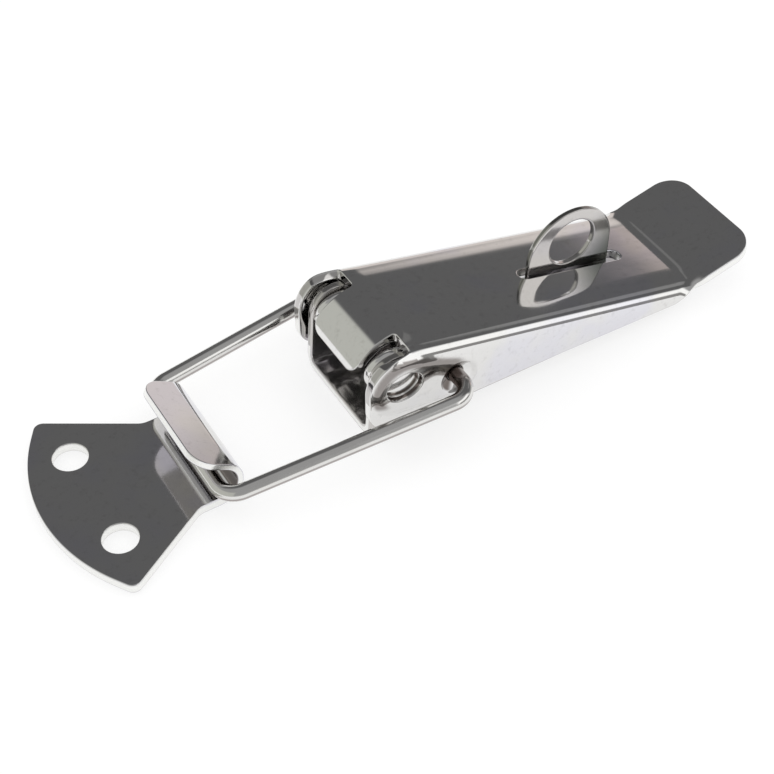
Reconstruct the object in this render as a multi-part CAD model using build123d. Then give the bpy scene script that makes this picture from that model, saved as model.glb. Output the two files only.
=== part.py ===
from build123d import *
import os
from math import cos, hypot, radians, sin, tan

# Over-centre toggle latch with a padlock eye, pressed from stainless sheet with a
# bent wire bail. Millimetres. The origin lies midway between the base bracket's two
# screw holes, on the mounting face. +X runs from the catch plate to the lever's
# thumb bill and +Z stands off the mounting face. The latch is modelled closed.

# Stock
lever_sheet = 1.5
base_sheet = 1.5
catch_sheet = 1.6
wire_diameter = 2.4

# Clearances
side_gap = 0.2           # ear to lever flange, on each side
pivot_clearance = 0.05   # radial, pressed boss in the ear's hole
wire_clearance = 0.08    # radial, bail wire in the flange's hole
slot_side_gap = 1.15     # padlock eye to the slot, on each side
slot_front_gap = 2.2     # the eye swings out of the slot, so its ends are wide
slot_rear_gap = 3.8

# Lever: a tapered channel with a curled front, a slot and a thumb bill
pivot_x = -14.3
pivot_z = 10.0
web_pitch = 12.8         # degrees, falls towards the bill
web_height = 12.92       # top face above the mounting face at the origin
lever_width = 22.0
fold_radius = 0.8        # inside the folds between web and flanges
nose_radius = 5.4        # flange end, about the pivot
flange_foot_z = 2.0      # flange edge above the mounting face
flange_toe_radius = 3.5
flange_rear_x = 38.0
notch_rear_x = -12.6     # slits that free the curl from the flanges
curl_width = 11.6
curl_radius = 5.2        # outside
curl_front_x = -19.2
curl_foot_z = 10.5
curl_corner = 2.0
bill_bend_x = 39.0
bill_bend_radius = 4.0   # on the hollow side
bill_pitch = 14.1        # degrees, rises to the tip
bill_reach = 11.8
bill_width = 20.9
bill_corner = 4.3

# Raised pads round the pivot and the bail hole, and the pressed pivot bosses
pad_rise = 0.3
pad_pivot_radius = 4.7
pad_bail_radius = 4.1
pad_pivot_crown = 3.2
pad_bail_crown = 2.9
boss_radius = 2.8
boss_press = 1.2         # how far the boss is pressed in from the pad's face
bail_hole_reach = 9.0    # behind the pivot
bail_hole_drop = 2.4     # below the pivot
bail_sink_radius = 2.7
bail_sink_depth = 0.7

# Base bracket: floor, two ears and the padlock eye folded up from the floor
floor_front_x = -18.9
floor_rear_x = 34.0
floor_width = 18.2
floor_corner = 3.5
ear_fold_radius = 1.0
ear_radius = 4.1
ear_foot_rear_x = -8.2
screw_spacing = 20.0
screw_hole_diameter = 5.2
eye_front_x = 14.8
eye_width = 13.9
eye_height = 18.4
eye_fold_radius = 1.0
eye_hole_diameter = 8.1
eye_hole_z = 12.9
eye_hole_shift = -0.65   # from the middle of the eye
eye_relief = 0.5         # slits beside the eye's fold

# Catch plate: fan-shaped foot, neck and open hook
hook_x = -42.9           # centre of the hook's bend
hook_radius = 2.45       # inside
hook_turn = 150.0
lip_length = 5.3
neck_width = 18.4
lip_corner = 3.2
fan_root_x = -45.9
fan_root_radius = 2.5
fan_radius = 26.8
fan_centre_x = -38.4
fan_half_angle = 39.7
fan_corner = 1.8
catch_hole_x = -57.4
catch_hole_spacing = 17.0
catch_hole_diameter = 5.2

# Wire bail
bail_hole_span = 30.8    # between the arms' centre lines at the flange holes
bail_bar_span = 24.0     # between them at the bar
bar_x = -43.1            # the bar hangs under the hook's lip
bar_z = 4.6
bail_hole_bend = 4.0
bail_bar_bend = 3.0
bail_end_reach = 1.2     # how far each end stands inside the pad

# Worked out from the above
wire_radius = wire_diameter / 2
lever_inside = lever_width / 2 - lever_sheet
pad_face = lever_width / 2 + pad_rise
pad_inside = lever_inside + pad_rise
ear_outside = lever_inside - side_gap
ear_inside = ear_outside - base_sheet
eye_rear_x = eye_front_x + eye_width
eye_middle_x = eye_front_x + eye_width / 2
bail_hole_x = pivot_x + bail_hole_reach
bail_hole_z = pivot_z - bail_hole_drop


def web_top(x):
    """Height of the lever's flat top face above the mounting face."""
    return web_height - x * tan(radians(web_pitch))


def side_extrude(outline, half_width):
    """Extrude an outline drawn in X and Z to both sides of the middle plane."""
    return extrude(Plane.XZ * outline, half_width, both=True)


def both_sides(shape):
    """The shape and its mirror image across the middle plane."""
    return shape + mirror(shape, about=Plane.XZ)


def web_wedge(half_width, drop, radius, front_x, rear_x):
    """Solid under the web's slope, with its two long top edges rounded."""
    outline = make_face(
        Polyline(
            (front_x, -10),
            (front_x, web_top(front_x) - drop),
            (rear_x, web_top(rear_x) - drop),
            (rear_x, -10),
            close=True,
        )
    )
    wedge = side_extrude(outline, half_width)
    crown = wedge.faces().sort_by(Axis.Z)[-1]
    long_edges = crown.edges().sort_by(SortBy.LENGTH)[-2:]
    return fillet(long_edges, radius)


def flange_outline():
    """Side view of the flanges, open upwards behind the notches."""
    nose_top = pivot_z + nose_radius
    nose_front = pivot_x - nose_radius
    sky = web_top(nose_front) + 5
    edge = (
        Line((notch_rear_x, nose_top), (pivot_x, nose_top))
        + RadiusArc((pivot_x, nose_top), (nose_front, pivot_z), -nose_radius)
        + Polyline(
            (nose_front, pivot_z),
            (nose_front, flange_foot_z),
            (flange_rear_x, flange_foot_z),
            (flange_rear_x, sky),
            (notch_rear_x, sky),
            (notch_rear_x, nose_top),
        )
    )
    outline = make_face(edge)
    toe = outline.vertices().sort_by_distance((nose_front, flange_foot_z))[0]
    return fillet(toe, flange_toe_radius)


def web_ribbon():
    """Side view of the strip that runs from the curl over the web to the bill's tip."""
    curl_x = curl_front_x
    bill_x = bill_bend_x + bill_reach
    bill_z = web_top(bill_bend_x) + bill_reach * tan(radians(bill_pitch))
    top = FilletPolyline(
        (curl_x, curl_foot_z),
        (curl_x, web_top(curl_x)),
        (bill_bend_x, web_top(bill_bend_x)),
        (bill_x, bill_z),
        radius=[curl_radius, bill_bend_radius],
    )
    return make_face(offset(top, lever_sheet, side=Side.RIGHT, closed=True))


def pad_hull(pivot_radius, bail_radius, y):
    """Outline round the pivot and the bail hole, in a plane parallel to the flange."""
    plane = Plane(origin=(0, y, 0), x_dir=(1, 0, 0), z_dir=(0, -1, 0))
    rings = (
        Pos(pivot_x, pivot_z) * Circle(pivot_radius)
        + Pos(bail_hole_x, bail_hole_z) * Circle(bail_radius)
    )
    return plane * make_hull(rings.edges())


def pad_block(y):
    """The pad's raised body, standing out of the plane at y."""
    foot = pad_hull(pad_pivot_radius, pad_bail_radius, y)
    crown = pad_hull(pad_pivot_crown, pad_bail_crown, y - pad_rise)
    return loft([foot, crown])


def across(x, z, y_from, y_to, radius, end_radius=None):
    """Round bar along Y, conical if end_radius is given."""
    foot = Plane(origin=(x, y_from, z), z_dir=(0, -1, 0))
    length = y_from - y_to
    if end_radius is None:
        return extrude(foot * Circle(radius), length)
    return loft([foot * Circle(radius), foot.offset(length) * Circle(end_radius)])


def make_lever():
    outer = web_wedge(
        lever_width / 2, 0, fold_radius + lever_sheet, curl_front_x - 5, flange_rear_x
    )
    inner = web_wedge(
        lever_inside,
        lever_sheet / cos(radians(web_pitch)),
        fold_radius,
        curl_front_x - 10,
        flange_rear_x + 5,
    )
    shell = (outer - inner) & side_extrude(flange_outline(), lever_width)
    front = Box(20, 2 * lever_inside, 20, align=(Align.MAX, Align.CENTER, Align.MIN))
    shell -= Pos(notch_rear_x, 0, pivot_z) * front

    # curl, with the corners of its free edge rounded
    ribbon = web_ribbon()
    curl = side_extrude(ribbon, curl_width / 2) & Pos(notch_rear_x + 1, 0, 0) * Box(
        40, 40, 60, align=(Align.MAX, Align.CENTER, Align.CENTER)
    )
    foot_edges = curl.edges().filter_by(Axis.X).sort_by(Axis.Z)[:2]
    curl = fillet(foot_edges, curl_corner)

    # thumb bill, cut to its plan outline
    plan = Pos(flange_rear_x - 1, 0) * Rectangle(
        bill_bend_x + bill_reach - flange_rear_x + 1,
        bill_width,
        align=(Align.MIN, Align.CENTER),
    )
    plan = fillet(plan.vertices().sort_by(Axis.X)[-2:], bill_corner)
    bill = side_extrude(ribbon, lever_width) & extrude(plan, 40, both=True)

    lever = shell + curl + bill

    # slot for the padlock eye, punched square to the web
    slot_front = eye_front_x - slot_front_gap
    slot_rear = eye_rear_x + slot_rear_gap
    slot_middle = (slot_front + slot_rear) / 2
    pitch = radians(web_pitch)
    web_plane = Plane(
        origin=(slot_middle, 0, web_top(slot_middle)),
        x_dir=(cos(pitch), 0, -sin(pitch)),
        z_dir=(sin(pitch), 0, cos(pitch)),
    )
    slot_length = (slot_rear - slot_front) / cos(pitch)
    slot = SlotOverall(slot_length, base_sheet + 2 * slot_side_gap)
    lever -= extrude(web_plane * slot, 2 * lever_sheet, both=True)

    # raised pads, pressed pivot bosses and dished bail holes on both flanges
    lever += both_sides(pad_block(-lever_width / 2))
    lever -= both_sides(pad_block(-lever_inside))
    boss_floor = pad_face - boss_press
    recess = across(pivot_x, pivot_z, -boss_floor, -pad_face - 1, boss_radius + 0.1)
    boss = across(
        pivot_x, pivot_z, -boss_floor + lever_sheet, -boss_floor, boss_radius
    )
    hole = across(
        bail_hole_x,
        bail_hole_z,
        -lever_inside + 1,
        -pad_face - 1,
        wire_radius + wire_clearance,
    )
    sink = across(
        bail_hole_x,
        bail_hole_z,
        -pad_face + bail_sink_depth,
        -pad_face,
        wire_radius + wire_clearance,
        bail_sink_radius,
    )
    return (lever - both_sides(recess + hole + sink)) + both_sides(boss)


def make_base():
    # ears and the floor between them, as a channel cut to the ears' side view
    rear_x = ear_foot_rear_x
    outer = Pos(floor_front_x, 0, 0) * Box(
        rear_x - floor_front_x, 2 * ear_outside, 40, align=(Align.MIN, Align.CENTER, Align.MIN)
    )
    outer = fillet(
        outer.edges().filter_by(Axis.X).sort_by(Axis.Z)[:2], ear_fold_radius + base_sheet
    )
    inner = Pos(floor_front_x - 1, 0, base_sheet) * Box(
        rear_x - floor_front_x + 2, 2 * ear_inside, 40, align=(Align.MIN, Align.CENTER, Align.MIN)
    )
    inner = fillet(inner.edges().filter_by(Axis.X).sort_by(Axis.Z)[:2], ear_fold_radius)
    foot = Pos(floor_front_x, 0) * Rectangle(
        rear_x - floor_front_x, base_sheet, align=(Align.MIN, Align.MIN)
    )
    crown = Pos(pivot_x, pivot_z) * Circle(ear_radius)
    ear_outline = make_hull((foot + crown).edges())
    base = (outer - inner) & side_extrude(ear_outline, lever_width)
    pivot_hole = Pos(pivot_x, pivot_z) * Circle(boss_radius + pivot_clearance)
    base -= side_extrude(pivot_hole, lever_width)

    # floor behind the ears
    floor = Pos(rear_x, 0) * Rectangle(
        floor_rear_x - rear_x, floor_width, align=(Align.MIN, Align.CENTER)
    )
    floor = fillet(floor.vertices().sort_by(Axis.X)[-2:], floor_corner)
    base += extrude(floor, base_sheet)

    # padlock eye: lanced from the +Y half of the floor and folded up
    fold_y = base_sheet / 2 - eye_fold_radius - base_sheet
    window = Pos(eye_front_x - eye_relief, fold_y, -1) * Box(
        eye_width + 2 * eye_relief, floor_width, base_sheet + 2, align=(Align.MIN,) * 3
    )
    base -= window
    section = FilletPolyline(
        (fold_y - 1, base_sheet / 2),
        (0, base_sheet / 2),
        (0, eye_height),
        radius=eye_fold_radius + base_sheet / 2,
    )
    section = Plane.YZ * trace(section, base_sheet)
    eye = Pos(eye_front_x, 0, 0) * extrude(section, eye_width)
    arch = Pos(eye_middle_x, 0) * SlotOverall(
        2 * eye_height, eye_width, rotation=90
    )
    eye &= side_extrude(arch, floor_width)
    base += eye
    hole = Pos(eye_middle_x + eye_hole_shift, eye_hole_z) * Circle(eye_hole_diameter / 2)
    base -= side_extrude(hole, 2 * base_sheet)

    screws = Sketch() + GridLocations(screw_spacing, 0, 2, 1) * Circle(
        screw_hole_diameter / 2
    )
    return base - extrude(screws, base_sheet)


def make_bail():
    length = hypot(bail_hole_x - bar_x, bail_hole_z - bar_z)
    plane = Plane(
        origin=(bar_x, 0, bar_z),
        x_dir=(bail_hole_x - bar_x, 0, bail_hole_z - bar_z),
        z_dir=(bar_z - bail_hole_z, 0, bail_hole_x - bar_x),
    )
    end_y = pad_inside - bail_end_reach
    path = plane * FilletPolyline(
        (length, -end_y),
        (length, -bail_hole_span / 2),
        (0, -bail_bar_span / 2),
        (0, bail_bar_span / 2),
        (length, bail_hole_span / 2),
        (length, end_y),
        radius=[bail_hole_bend, bail_bar_bend, bail_bar_bend, bail_hole_bend],
    )
    return sweep(Plane(origin=path @ 0, z_dir=path % 0) * Circle(wire_radius), path=path)


def make_catch():
    # fan-shaped foot with its two screw holes
    side = radians(180 - fan_half_angle)
    corner = (fan_centre_x + fan_radius * cos(side), fan_radius * sin(side))
    edge = Polyline(
        corner,
        (fan_root_x, neck_width / 2),
        (hook_x, neck_width / 2),
        (hook_x, -neck_width / 2),
        (fan_root_x, -neck_width / 2),
        (corner[0], -corner[1]),
    ) + ThreePointArc(
        (corner[0], -corner[1]), (fan_centre_x - fan_radius, 0), corner
    )
    fan = make_face(edge)
    fan = fillet(fan.vertices().sort_by(Axis.X)[:2], fan_corner)
    roots = fan.vertices().filter_by(lambda v: abs(v.X - fan_root_x) < 1e-3)
    fan = fillet(roots, fan_root_radius)
    holes = Sketch() + GridLocations(0, catch_hole_spacing, 1, 2) * Circle(
        catch_hole_diameter / 2
    )
    fan -= Pos(catch_hole_x, 0) * holes
    plate = extrude(fan, catch_sheet)

    # hook, traced along the middle of the sheet
    neck = Line((fan_root_x, catch_sheet / 2), (hook_x, catch_sheet / 2))
    bend = JernArc(neck @ 1, neck % 1, hook_radius + catch_sheet / 2, hook_turn)
    lip = PolarLine(bend @ 1, lip_length, direction=bend % 1)
    hook = side_extrude(trace(neck + bend + lip, catch_sheet), neck_width / 2)
    lip_end = Vector((lip @ 1).X, 0, (lip @ 1).Y)
    thickness_edges = hook.edges().filter_by(
        lambda e: abs(e.length - catch_sheet) < 1e-3
    )
    corners = thickness_edges.sort_by_distance(lip_end)[:2]
    return plate + fillet(corners, lip_corner)


os.makedirs("parts", exist_ok=True)
export_step(make_lever(), "parts/lever.step")
export_step(make_base(), "parts/base_bracket.step")
export_step(make_bail(), "parts/wire_bail.step")
export_step(make_catch(), "parts/catch_plate.step")
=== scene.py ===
import bpy
import bmesh
import numpy as np
from math import acos, atan2, cos, pi, radians, sin, tan
from mathutils import Matrix, Vector
from mathutils.geometry import delaunay_2d_cdt


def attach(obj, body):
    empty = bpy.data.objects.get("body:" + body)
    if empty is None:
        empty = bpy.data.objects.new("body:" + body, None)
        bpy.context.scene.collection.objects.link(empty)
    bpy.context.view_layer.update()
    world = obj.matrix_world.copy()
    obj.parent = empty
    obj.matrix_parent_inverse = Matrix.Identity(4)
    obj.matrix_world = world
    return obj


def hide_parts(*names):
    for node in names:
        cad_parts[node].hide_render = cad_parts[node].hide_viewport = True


# Over-centre toggle latch: lever, base bracket, wire bail and catch plate.
# Lengths in the dictionaries are millimetres, angles degrees; meshes are in metres.

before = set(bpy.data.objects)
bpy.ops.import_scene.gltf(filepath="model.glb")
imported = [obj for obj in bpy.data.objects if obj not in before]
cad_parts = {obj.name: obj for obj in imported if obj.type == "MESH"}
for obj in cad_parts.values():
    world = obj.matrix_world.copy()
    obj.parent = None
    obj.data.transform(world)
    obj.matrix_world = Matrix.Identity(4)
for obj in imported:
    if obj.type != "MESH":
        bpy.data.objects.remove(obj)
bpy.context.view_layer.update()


def cornerArc(corner, before, after, half, radius, step, fewest):
    # Arc that touches both sides of a corner. Before and after are unit vectors along the
    # sides and half is half the angle between them: the arc's centre lies on the bisector,
    # radius / sin(half) away. Fewest is the least number of cuts, (per radian, in all).
    reach = radius / tan(half)
    bisector = before + after
    centre = corner + bisector / np.linalg.norm(bisector) * radius / sin(half)
    start, end = corner + before * reach - centre, corner + after * reach - centre
    turn = atan2(start[0] * end[1] - start[1] * end[0], start @ end)
    count = max(int(np.ceil(abs(turn) * max(radius / step, fewest[0]))), fewest[1])
    angle = np.linspace(0, turn, count + 1)[:, None]
    side = np.array([-start[1], start[0]])
    return centre + start * np.cos(angle) + side * np.sin(angle)


def roundedLoop(corners, step):
    # Closed outline: each corner (x, y, radius) becomes an arc that touches both its
    # sides, and the straight runs between the arcs are cut into equal steps.
    points = np.array([c[:2] for c in corners], float)
    before, after = np.roll(points, 1, 0) - points, np.roll(points, -1, 0) - points
    before /= np.linalg.norm(before, axis=1)[:, None]
    after /= np.linalg.norm(after, axis=1)[:, None]
    half = np.arccos(np.clip((before * after).sum(1), -1, 1)) / 2
    runs = []
    for i, (_, _, radius) in enumerate(corners):
        if radius == 0 or half[i] > pi / 2 - 1e-4:
            runs.append(points[i:i + 1])
        else:
            runs.append(cornerArc(points[i], before[i], after[i], half[i], radius, step,
                                  (12 / pi, 2)))
    loop = []
    for run, following in zip(runs, runs[1:] + runs[:1]):
        gap = following[0] - run[-1]
        count = max(int(np.linalg.norm(gap) / step + 0.5), 1)
        loop += [run, run[-1] + gap * np.linspace(0, 1, count + 1)[1:-1, None]]
    loop = np.concatenate(loop)
    # points that all but coincide are dropped
    return loop[np.linalg.norm(np.roll(loop, -1, 0) - loop, axis=1) > 0.02]


def roundedRun(corners, step, radii=None):
    # Open run of straights with rounded corners, cut into equal steps.
    radii = radii or [0] * len(corners)
    corners = np.array(corners, float)
    last = corners[0]
    runs = [last[None]]
    for i in range(1, len(corners)):
        target, arc = corners[i], None
        if radii[i] > 0:
            before, after = last - target, corners[i + 1] - target
            before /= np.linalg.norm(before)
            after /= np.linalg.norm(after)
            half = acos(np.clip(before @ after, -1, 1)) / 2
            arc = cornerArc(target, before, after, half, radii[i], step, (4, 4))
            target = arc[0]
        count = max(int(np.linalg.norm(target - last) / step + 0.5), 1)
        runs.append(last + (target - last) * np.linspace(0, 1, count + 1)[1:, None])
        if arc is not None:
            runs.append(arc[1:])
            target = arc[-1]
        last = target
    return np.concatenate(runs)


def circleLoop(x, y, radius, step):
    # Points x + r cos(a), y + r sin(a) round a full turn.
    count = max(int(2 * pi * radius / step), 40)
    angle = np.linspace(0, 2 * pi, count, endpoint=False)
    return np.stack([x + radius * np.cos(angle), y + radius * np.sin(angle)], 1)


def loopNormals(loop, hole):
    # Unit normals out of the metal: the chord between a point's neighbours, turned a
    # quarter, pointing away from the loop's inside, or into it for a hole.
    chord = np.roll(loop, -1, 0) - np.roll(loop, 1, 0)
    normal = np.stack([chord[:, 1], -chord[:, 0]], 1)
    normal /= np.linalg.norm(normal, axis=1)[:, None]
    following = np.roll(loop, -1, 0)
    area = (loop[:, 0] * following[:, 1] - following[:, 0] * loop[:, 1]).sum()
    return normal * (1 if (area > 0) != hole else -1)


def insideLoop(points, loop):
    # Even-odd rule: counts the loop's sides crossed by a ray towards +x.
    inside = np.zeros(len(points), bool)
    x, y = points[:, 0], points[:, 1]
    for a, b in zip(np.array_split(loop, 8), np.array_split(np.roll(loop, -1, 0), 8)):
        straddles = (a[None, :, 1] > y[:, None]) != (b[None, :, 1] > y[:, None])
        rise = b[None, :, 1] - a[None, :, 1]
        rise = np.where(rise == 0, 1e-12, rise)
        across = a[None, :, 0] + (y[:, None] - a[None, :, 1]) * (b - a)[None, :, 0] / rise
        inside ^= (np.count_nonzero(straddles & (x[:, None] < across), 1) % 2).astype(bool)
    return inside


def nearLoop(points, loop, distance):
    # True where a point lies within a distance of any of the loop's points.
    near = np.zeros(len(points), bool)
    for part in np.array_split(loop, max(len(loop) // 200, 1)):
        gap = ((points[:, None] - part[None]) ** 2).sum(2)
        near |= gap.min(1) < distance ** 2
    return near


def edgeProfile(thickness, top=0.16, bottom=0.12, hold=0.06):
    # A punched edge in section, as (shift out of the metal, depth, bare metal 0 or 1):
    # a quarter round at the top, the sheared wall, a smaller quarter round below.
    angle = np.linspace(0, pi / 2, 6)
    upper = np.stack([top * (np.sin(angle) - 1), top * (1 - np.cos(angle)), angle * 0], 1)
    lower = np.stack([bottom * (np.cos(angle) - 1), thickness - bottom * (1 - np.sin(angle)),
                      angle * 0], 1)
    wall = np.linspace(top, thickness - bottom, 6)[1:-1]
    wall = np.stack([wall * 0, wall, wall * 0 + 1], 1)
    return np.concatenate([[[-top - hold, 0, 0]], upper, wall, lower,
                           [[-bottom - hold, thickness, 0]]])


def triangulate(loops, spots, gap):
    # Constrained Delaunay triangles between the outline, its holes and the free points.
    # The first loop is the outline.
    keep = insideLoop(spots, loops[0])
    for loop in loops[1:]:
        keep &= ~insideLoop(spots, loop)
    spots = spots[keep]
    for loop in loops:
        spots = spots[~nearLoop(spots, loop, gap)]
    points = np.concatenate(loops + [spots])
    edges, first = [], 0
    for loop in loops:
        index = np.arange(first, first + len(loop))
        edges += np.stack([index, np.roll(index, -1)], 1).tolist()
        first += len(loop)
    vertices, _, faces, *_ = delaunay_2d_cdt(
        [Vector(p) for p in points.tolist()], edges, [], 0, 1e-6, False)
    vertices, faces = np.array(vertices), np.array(faces)
    centre = vertices[faces].mean(1)
    keep = insideLoop(centre, loops[0])
    for loop in loops[1:]:
        keep &= ~insideLoop(centre, loop)
    # a sliver's own centre can't tell its side: it takes that of the triangle across
    # its longest edge
    following = faces[:, [1, 2, 0]]
    sides = vertices[following] - vertices[faces]
    length = np.linalg.norm(sides, axis=2)
    key = (np.minimum(faces, following) * len(vertices) + np.maximum(faces, following)).ravel()
    order = np.argsort(key, kind="stable")
    paired = np.flatnonzero(key[order][1:] == key[order][:-1])
    across = np.full(len(key), -1)
    across[order[paired]], across[order[paired + 1]] = order[paired + 1] // 3, order[paired] // 3
    longest = length.argmax(1)
    across = across.reshape(-1, 3)[np.arange(len(faces)), longest]
    area = np.abs(sides[:, 0, 0] * sides[:, 1, 1] - sides[:, 0, 1] * sides[:, 1, 0])
    sliver = area < 1e-3 * length.max(1) ** 2
    for _ in range(6):
        keep = np.where(sliver, keep[across] & (across >= 0), keep)
    return vertices, faces[keep]


def foldedSheet(name, outline, holes, shape, spots, thickness, tint, plain=None):
    # The blank is drawn flat; shape(s, t, depth) bends it: it gives the point that lies
    # at depth below the pattern's point (s, t). Two triangulated faces and a strip round
    # every loop close it. A hole is (loop, top profile or None for the plain edge, bottom
    # profile or None, (centre, radius) or None): given a centre, its rings shrink to it.
    # Tint(points, profile values) gives the value of sheared at every point: above 0 bright sheared
    # metal, below 0 painted shade.
    verts, faces, edgeAndShade, first = [], [], [], 0
    gap = 0.16    # free points keep this far from every loop

    def add(points, newFaces, edgeAndShadeValues):
        nonlocal first
        verts.append(points)
        faces.extend((np.asarray(newFaces) + first).tolist())
        edgeAndShade.append(tint(points, edgeAndShadeValues))
        first += len(points)

    plain = edgeProfile(thickness) if plain is None else plain
    rims = [(outline, loopNormals(outline, False), plain, None)]
    for loop, top, bottom, middle in holes:
        inward = loopNormals(loop, True) if middle is None else (middle[0] - loop) / middle[1]
        rims.append((loop, inward, plain if top is None else top, bottom))
    for side, depth in ((0, 0.0), (1, thickness)):
        loops = []
        for loop, normal, profile, closing in rims:
            start = profile[0] if side == 0 else (profile[-1] if closing is None else closing[0])
            loops.append(loop + normal * start[0])
        flat, triangles = triangulate(loops, spots, gap)
        triangles = triangles if side == 0 else triangles[:, ::-1]
        add(shape(flat[:, 0], flat[:, 1], np.full(len(flat), depth)), triangles,
            np.zeros(len(flat)))
    for loop, normal, profile, closing in rims:
        for section in (profile, closing):
            if section is None:
                continue
            s = loop[:, 0, None] + normal[:, 0, None] * section[None, :, 0]
            t = loop[:, 1, None] + normal[:, 1, None] * section[None, :, 0]
            depth = np.broadcast_to(section[None, :, 1], s.shape)
            points = shape(s.ravel(), t.ravel(), depth.ravel())
            rows, cols = s.shape
            index = np.arange(rows * cols).reshape(rows, cols)
            nextRow = np.roll(index, -1, 0)
            quads = np.stack([index[:, :-1], index[:, 1:], nextRow[:, 1:], nextRow[:, :-1]], 2)
            add(points, quads.reshape(-1, 4), np.broadcast_to(section[None, :, 2], s.shape).ravel())
    return finishMesh(name, np.concatenate(verts), faces, np.concatenate(edgeAndShade))


def finishMesh(name, verts, faces, edgeAndShade):
    # Millimetres to metres, seams and poles merged, faces turned outwards, smooth.
    mesh = bpy.data.meshes.new(name)
    mesh.from_pydata((verts * 0.001).tolist(), [], faces)
    # sheared: above 0 bright sheared metal, below 0 painted shade and, on the wire, a painted dark
    # reflection
    layer = mesh.attributes.new("sheared", "FLOAT", "POINT")
    layer.data.foreach_set("value", edgeAndShade.astype(np.float32))
    shell = bmesh.new()
    shell.from_mesh(mesh)
    bmesh.ops.remove_doubles(shell, verts=shell.verts, dist=2e-6)
    bmesh.ops.recalc_face_normals(shell, faces=shell.faces)
    for face in shell.faces:
        face.smooth = True
    openEdges = sum(1 for e in shell.edges if len(e.link_faces) != 2)
    shell.to_mesh(mesh)
    shell.free()
    piece = bpy.data.objects.new(name, mesh)
    bpy.context.scene.collection.objects.link(piece)
    print(name, len(mesh.polygons), "faces, open edges", openEdges)
    return piece


def gridSpots(sLines, tLines):
    # Every crossing of the two sets of lines.
    s, t = np.meshgrid(sLines, tLines, indexing="ij")
    return np.stack([s.ravel(), t.ravel()], 1)


def without(spots, window):
    # Leaves out the points inside (s0, s1, t0, t1).
    s0, s1, t0, t1 = window
    s, t = spots[:, 0], spots[:, 1]
    return spots[~((s > s0) & (s < s1) & (t > t0) & (t < t1))]


def spaced(*stops):
    # (from, step, to, step, to, ...): lines at each stretch's own step.
    lines = [np.array([stops[0]])]
    for start, step, end in zip(stops[:-2:2], stops[1::2], stops[2::2]):
        count = max(int(round(abs(end - start) / step)), 1)
        lines.append(np.linspace(start, end, count + 1)[1:])
    return np.concatenate(lines)


lever = {
    "sheet": 1.5, "pitch": 12.8, "webHeight": 12.92, "width": 22.0, "foldRadius": 2.3,
    "pivot": (-14.3, 10.0), "bailHole": (-5.3, 7.6), "noseRadius": 5.4, "toeRadius": 3.5,
    "footHeight": (3.2, 2.0), "footEnd": 34.6, "foldFade": (36.2, 41.4),
    "notchRear": -12.6, "notchLead": 1.3, "notchReach": 1.5, "notchCorner": 0.5,
    "curlWidth": 11.6, "curlRadius": 8.6, "curlStart": -10.25, "curlTurn": 76.5,
    "curlTail": 0.1, "curlCorner": 2.0, "curlShare": 0.65, "curlBlend": (5.0, 11.4),
    "billBend": 39.0, "billBendRadius": 6.5, "billPitch": 14.1, "billReach": 11.8,
    "billWidth": 20.9, "billCorner": 4.3, "billMeet": 39.6, "billBlendPoints": 32,
    "slot": (12.6, 31.9), "slotWidth": 2.4,
    "crown": 0.2, "crownUp": (6.3, 9.0), "crownDown": (9.0, 12.5),
    "padRise": 0.42, "padFoot": (5.1, 3.7), "padCrown": (4.1, 2.8), "padSharp": 0.65,
    "padFold": 0.3, "padEnd": 6.0,
    "recessRadius": 2.9, "recessStretch": (1.0, 0.84), "recessLift": 0.35,
    "bossPress": 1.1, "bossDome": 0.4, "headDepth": (3.6, 5.2), "headRadius": 4.0,
    "wireHole": 1.28, "sinkRadius": 2.9, "sinkDepth": 1.05,
    "step": 0.3, "webStep": 0.8, "bendStep": 0.22, "fineStep": 0.27,
    # painted shade: how dark, where its bands lie and how softly they end
    "shade": {
        "slope": 0.78, "pad": 0.1, "rim": 0.35, "rimBox": (-19.8, -11.0, 8.5),
        "outer": (5.2, 3.5), "outerEdge": (-0.45, 0.1), "padEdge": (-0.6, 0.2),
        "inner": (3.4, 0.3), "innerEdge": (-0.3, 0.5),
        "level": (-13.0, 7.5), "fall": (-11.4, 10.9, 1.075), "lineEdge": (-0.5, 0.7),
        "holeEdge": (-0.4, 1.4), "dishEdge": (-0.6, 0.8), "dishLean": 0.6, "dishRound": 0.2,
    },
}
slope = radians(lever["pitch"])
downSlope = np.array([cos(slope), 0, -sin(slope)])     # along the web, towards the bill
webNormal = np.array([sin(slope), 0, cos(slope)])
webOrigin = np.array([0, 0, lever["webHeight"]])
foldStart = lever["width"] / 2 - lever["foldRadius"]   # flat half of the web
foldLength = lever["foldRadius"] * pi / 2
curlTurn, curlStart = radians(lever["curlTurn"]), lever["curlStart"]
billTurn = slope + radians(lever["billPitch"])
billStart = lever["billBend"] / cos(slope) - lever["billBendRadius"] * tan(billTurn / 2)


def ramp(value, low, high):
    # 0 below low, 1 above high, a smooth S between.
    x = np.clip((value - low) / (high - low), 0, 1)
    return x * x * (3 - 2 * x)


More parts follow.
